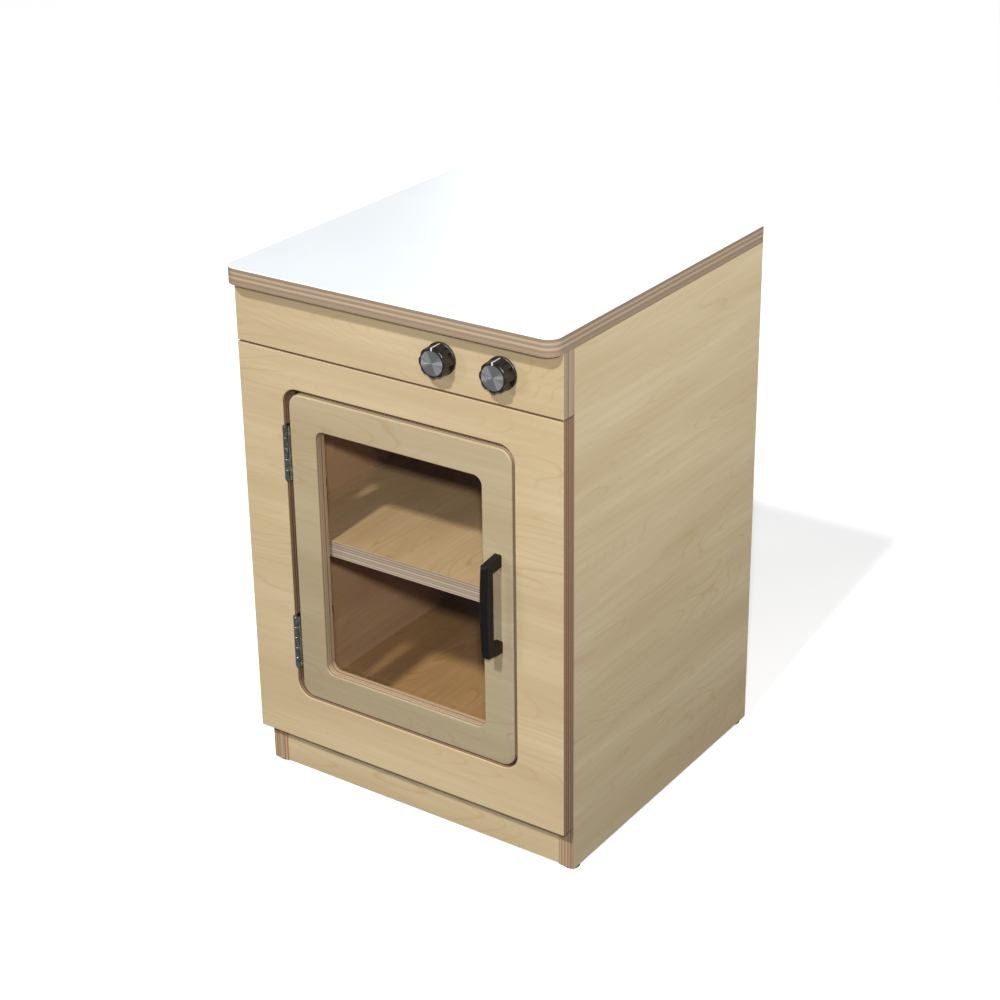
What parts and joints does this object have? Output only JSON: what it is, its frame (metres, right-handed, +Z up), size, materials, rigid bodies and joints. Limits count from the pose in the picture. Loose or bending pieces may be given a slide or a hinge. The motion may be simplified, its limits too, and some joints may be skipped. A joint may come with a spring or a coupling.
{
  "type": "toy cooker cabinet",
  "caption": "Plywood toy kitchen unit with a white worktop, turning control knobs and a side-hinged oven door with a rounded window.",
  "frame": {"origin": "middle of the box round the whole object, on the ground plane under its glides", "axes": "+Z up, -Y out of the oven door's face, +X to the right as one faces the oven"},
  "size_m": [0.4, 0.4162, 0.599],
  "materials": {
    "maple_laminate": "satin maple laminate on birch ply, plies showing at the cut edges",
    "maple_door": "satin maple-faced ply, a greyer sheet than the frame",
    "maple_board": "satin maple-faced ply inside the oven",
    "worktop_ply": "birch ply edge, sealed",
    "white_laminate": "white high pressure laminate, fine satin grain",
    "back_ply": "thin birch ply",
    "beech": "turned beech dowel",
    "black_plastic": "moulded satin black plastic",
    "black_metal": "black powder coat",
    "spun_aluminium": "spun aluminium",
    "pointer_silver": "bright silver inlay",
    "dark_steel": "dark bronzed steel",
    "zinc_steel": "zinc plated steel",
    "clear_acrylic": "clear acrylic sheet",
    "catch_plastic": "brown moulded plastic",
    "magnet_ferrite": "ferrite magnet",
    "glide_plastic": "dark nylon glide"
  },
  "bodies": {
    "cabinet": {"left_side": "maple_laminate", "right_side": "maple_laminate", "front_frame": "maple_laminate", "control_panel": "maple_laminate", "toe_kick": "maple_laminate", "cabinet_floor": "maple_board", "oven_shelf": "maple_board", "oven_ceiling": "maple_board", "front_rail": "maple_board", "rear_rail": "maple_board", "back_panel": "back_ply", "worktop_core": "worktop_ply", "worktop_laminate": "white_laminate", "side_dowels": "beech", "face_dowels": "beech", "back_screws": "zinc_steel", "worktop_screws": "zinc_steel", "catch_housing": "catch_plastic", "catch_magnet": "magnet_ferrite", "catch_screws": "zinc_steel", "floor_glides": "glide_plastic", "glide_nails": "zinc_steel", "bushing_washers": "zinc_steel", "bushing_nuts": "zinc_steel", "frame_leaf_screws": "dark_steel", "upper_hinge_frame_leaf": "dark_steel", "upper_hinge_pin": "dark_steel", "lower_hinge_frame_leaf": "dark_steel", "lower_hinge_pin": "dark_steel", "left_knob_bushing": "zinc_steel", "right_knob_bushing": "zinc_steel"},
    "oven_door": {"door_panel": "maple_door", "window_pane": "clear_acrylic", "pane_clips": "zinc_steel", "pane_clip_screws": "zinc_steel", "door_handle": "black_metal", "handle_screws": "zinc_steel", "strike_plate": "zinc_steel", "strike_screw": "zinc_steel", "door_leaf_screws": "dark_steel", "upper_hinge_door_leaf": "dark_steel", "lower_hinge_door_leaf": "dark_steel"},
    "left_knob_unit": {"left_knob": "black_plastic", "left_knob_cap": "spun_aluminium", "left_knob_pointer": "pointer_silver", "left_spindle": "zinc_steel", "left_set_screw": "zinc_steel", "left_spindle_clip": "zinc_steel"},
    "right_knob_unit": {"right_knob": "black_plastic", "right_knob_cap": "spun_aluminium", "right_knob_pointer": "pointer_silver", "right_spindle": "zinc_steel", "right_set_screw": "zinc_steel", "right_spindle_clip": "zinc_steel"}
  },
  "joints": [
    {"name": "door_hinge", "type": "hinge", "parent": "cabinet", "child": "oven_door", "pos_m": [-0.14, -0.18235, 0.28915], "axis": [0, 0, -1], "range_deg": [0, 180]},
    {"name": "left_knob_turn", "type": "hinge", "parent": "cabinet", "child": "left_knob_unit", "pos_m": [0.061, -0.17985, 0.5474], "axis": [0, -1, 0], "continuous": true},
    {"name": "right_knob_turn", "type": "hinge", "parent": "cabinet", "child": "right_knob_unit", "pos_m": [0.1315, -0.17985, 0.5474], "axis": [0, -1, 0], "continuous": true}
  ]
}
